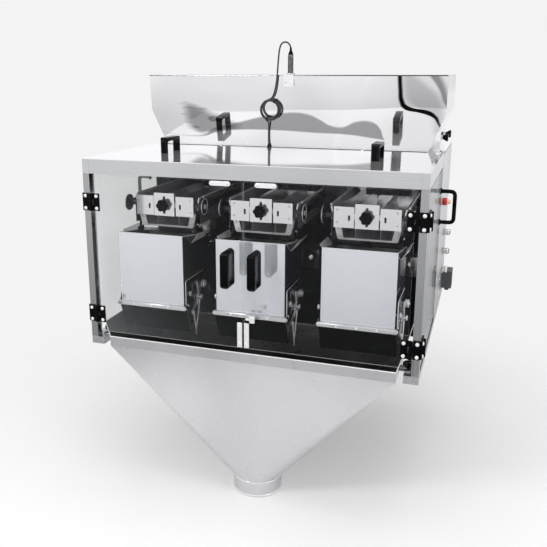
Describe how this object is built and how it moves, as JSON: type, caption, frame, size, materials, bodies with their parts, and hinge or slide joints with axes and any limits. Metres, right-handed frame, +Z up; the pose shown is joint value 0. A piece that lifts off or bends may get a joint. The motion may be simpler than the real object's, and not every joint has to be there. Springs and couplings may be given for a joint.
{
  "type": "linear weigher",
  "caption": "Weighing head with feed hopper, vibratory pans, weigh hoppers behind clear doors and a discharge chute, for a bag-making machine.",
  "frame": {"origin": "centre of the four fixing holes, in the plane of the underside of the base rails", "axes": "+X to the right seen from the front doors, +Y from the front doors to the rear cover, +Z up; the chute hangs below the origin"},
  "size_m": [1.056, 0.91, 1.3395],
  "materials": {
    "brushed_steel": "satin",
    "polished_steel": "polished",
    "clear_acrylic": "gloss",
    "black_plastic": "gloss",
    "grey_plastic": "matte",
    "yellow_plastic": "gloss",
    "red_plastic": "gloss",
    "lead_jacket": "matte",
    "nickel_brass": "satin",
    "cast_base": "matte",
    "spring_steel": "satin",
    "aluminium": "satin"
  },
  "bodies": {
    "machine_frame": {"front_posts": "brushed_steel", "top_rails": "brushed_steel", "base_rails": "brushed_steel", "side_panel_left": "brushed_steel", "side_panel_right": "brushed_steel", "rear_cover": "brushed_steel", "inner_panels": "brushed_steel", "deck_plate": "polished_steel", "feed_hopper": "polished_steel", "hopper_spouts": "brushed_steel", "hopper_brackets": "brushed_steel", "hopper_clamp_knobs": "black_plastic", "level_sensor": "nickel_brass", "sensor_lead": "lead_jacket", "sensor_lead_coil": "lead_jacket", "vibrator_bases": "cast_base", "leaf_springs": "spring_steel", "load_cells": "aluminium", "door_actuators": "aluminium", "gate_frames": "brushed_steel", "hinge_fixed_leaves": "black_plastic", "discharge_chute": "brushed_steel", "chute_spigot": "brushed_steel", "side_button_bezel": "red_plastic", "cable_glands": "nickel_brass", "inlet_box": "grey_plastic", "weigh_hopper_1": "brushed_steel", "weigh_hopper_2": "brushed_steel", "weigh_hopper_3": "brushed_steel"},
    "cover": {"top_cover": "polished_steel", "cover_handles": "black_plastic"},
    "front_door_l": {"front_door_left": "clear_acrylic", "front_door_left_fittings": "black_plastic"},
    "front_door_r": {"front_door_right": "clear_acrylic", "front_door_right_fittings": "black_plastic"},
    "side_door_l": {"side_door_left": "clear_acrylic", "side_door_left_fittings": "black_plastic"},
    "side_door_r": {"side_door_right": "clear_acrylic", "side_door_right_fittings": "black_plastic"},
    "side_button": {"side_button_cap": "yellow_plastic"},
    "chute_clamp_l": {"chute_knob_left": "black_plastic"},
    "chute_clamp_r": {"chute_knob_right": "black_plastic"},
    "pan_1": {"feeder_pan_1": "polished_steel"},
    "gate_1": {"gate_plates_1": "polished_steel"},
    "gate_clamp_1": {"gate_knob_1": "black_plastic"},
    "flap_1": {"flap_gate_1": "brushed_steel"},
    "bucket_door_1": {"weigh_door_1": "brushed_steel"},
    "toggle_1": {"toggle_lever_1": "brushed_steel"},
    "pan_2": {"feeder_pan_2": "polished_steel"},
    "gate_2": {"gate_plates_2": "polished_steel"},
    "gate_clamp_2": {"gate_knob_2": "black_plastic"},
    "flap_2": {"flap_gate_2": "brushed_steel"},
    "bucket_door_2": {"weigh_door_2": "brushed_steel"},
    "toggle_2": {"toggle_lever_2": "brushed_steel"},
    "pan_3": {"feeder_pan_3": "polished_steel"},
    "gate_3": {"gate_plates_3": "polished_steel"},
    "gate_clamp_3": {"gate_knob_3": "black_plastic"},
    "flap_3": {"flap_gate_3": "brushed_steel"},
    "bucket_door_3": {"weigh_door_3": "brushed_steel"},
    "toggle_3": {"toggle_lever_3": "brushed_steel"}
  },
  "joints": [
    {"name": "cover_lift", "type": "slide", "parent": "machine_frame", "child": "cover", "axis": [0, 0, 1], "range_m": [0, 0.06]},
    {"name": "front_door_left_swing", "type": "hinge", "parent": "machine_frame", "child": "front_door_l", "pos_m": [-0.455, -0.438, 0.275], "axis": [0, 0, -1], "range_deg": [0, 110]},
    {"name": "front_door_right_swing", "type": "hinge", "parent": "machine_frame", "child": "front_door_r", "pos_m": [0.455, -0.438, 0.275], "axis": [0, 0, 1], "range_deg": [0, 110]},
    {"name": "side_door_left_swing", "type": "hinge", "parent": "machine_frame", "child": "side_door_l", "pos_m": [-0.486, -0.407, 0.275], "axis": [0, 0, 1], "range_deg": [0, 100]},
    {"name": "side_door_right_swing", "type": "hinge", "parent": "machine_frame", "child": "side_door_r", "pos_m": [0.486, -0.407, 0.275], "axis": [0, 0, -1], "range_deg": [0, 100]},
    {"name": "side_button_push", "type": "slide", "parent": "machine_frame", "child": "side_button", "axis": [-1, 0, 0], "range_m": [0, 0.004], "stiffness_N_per_m": 1500},
    {"name": "chute_knob_left_turn", "type": "hinge", "parent": "machine_frame", "child": "chute_clamp_l", "pos_m": [-0.447, -0.387, 0.03], "axis": [0, 0, 1], "continuous": true},
    {"name": "chute_knob_right_turn", "type": "hinge", "parent": "machine_frame", "child": "chute_clamp_r", "pos_m": [0.447, -0.387, 0.03], "axis": [0, 0, 1], "continuous": true},
    {"name": "pan_1_vibration", "type": "slide", "parent": "machine_frame", "child": "pan_1", "axis": [0, -0.9397, 0.342], "range_m": [-0.001, 0.001], "stiffness_N_per_m": 200000},
    {"name": "gate_1_height", "type": "slide", "parent": "machine_frame", "child": "gate_1", "axis": [0, 0, 1], "range_m": [-0.022, 0.022]},
    {"name": "gate_knob_1_turn", "type": "hinge", "parent": "machine_frame", "child": "gate_clamp_1", "pos_m": [-0.305, -0.282, 0.402], "axis": [0, -1, 0], "continuous": true},
    {"name": "flap_1_swing", "type": "hinge", "parent": "machine_frame", "child": "flap_1", "pos_m": [-0.305, -0.248, 0.352], "axis": [-1, 0, 0], "range_deg": [0, 75]},
    {"name": "weigh_door_1_swing", "type": "hinge", "parent": "machine_frame", "child": "bucket_door_1", "pos_m": [-0.305, -0.35, 0.158], "axis": [-1, 0, 0], "range_deg": [0, 35]},
    {"name": "toggle_1_turn", "type": "hinge", "parent": "machine_frame", "child": "toggle_1", "pos_m": [-0.305, -0.292, 0.132], "axis": [1, 0, 0], "range_deg": [0, 35]},
    {"name": "pan_2_vibration", "type": "slide", "parent": "machine_frame", "child": "pan_2", "axis": [0, -0.9397, 0.342], "range_m": [-0.001, 0.001], "stiffness_N_per_m": 200000},
    {"name": "gate_2_height", "type": "slide", "parent": "machine_frame", "child": "gate_2", "axis": [0, 0, 1], "range_m": [-0.022, 0.022]},
    {"name": "gate_knob_2_turn", "type": "hinge", "parent": "machine_frame", "child": "gate_clamp_2", "pos_m": [0, -0.282, 0.402], "axis": [0, -1, 0], "continuous": true},
    {"name": "flap_2_swing", "type": "hinge", "parent": "machine_frame", "child": "flap_2", "pos_m": [0, -0.248, 0.352], "axis": [-1, 0, 0], "range_deg": [0, 75]},
    {"name": "weigh_door_2_swing", "type": "hinge", "parent": "machine_frame", "child": "bucket_door_2", "pos_m": [0, -0.35, 0.158], "axis": [-1, 0, 0], "range_deg": [0, 35]},
    {"name": "toggle_2_turn", "type": "hinge", "parent": "machine_frame", "child": "toggle_2", "pos_m": [0, -0.292, 0.132], "axis": [1, 0, 0], "range_deg": [0, 35]},
    {"name": "pan_3_vibration", "type": "slide", "parent": "machine_frame", "child": "pan_3", "axis": [0, -0.9397, 0.342], "range_m": [-0.001, 0.001], "stiffness_N_per_m": 200000},
    {"name": "gate_3_height", "type": "slide", "parent": "machine_frame", "child": "gate_3", "axis": [0, 0, 1], "range_m": [-0.022, 0.022]},
    {"name": "gate_knob_3_turn", "type": "hinge", "parent": "machine_frame", "child": "gate_clamp_3", "pos_m": [0.305, -0.282, 0.402], "axis": [0, -1, 0], "continuous": true},
    {"name": "flap_3_swing", "type": "hinge", "parent": "machine_frame", "child": "flap_3", "pos_m": [0.305, -0.248, 0.352], "axis": [-1, 0, 0], "range_deg": [0, 75]},
    {"name": "weigh_door_3_swing", "type": "hinge", "parent": "machine_frame", "child": "bucket_door_3", "pos_m": [0.305, -0.35, 0.158], "axis": [-1, 0, 0], "range_deg": [0, 35]},
    {"name": "toggle_3_turn", "type": "hinge", "parent": "machine_frame", "child": "toggle_3", "pos_m": [0.305, -0.292, 0.132], "axis": [1, 0, 0], "range_deg": [0, 35]}
  ],
  "couplings": [
    {"joint": "toggle_1_turn", "follows": "weigh_door_1_swing", "ratio": 1},
    {"joint": "toggle_2_turn", "follows": "weigh_door_2_swing", "ratio": 1},
    {"joint": "toggle_3_turn", "follows": "weigh_door_3_swing", "ratio": 1}
  ]
}
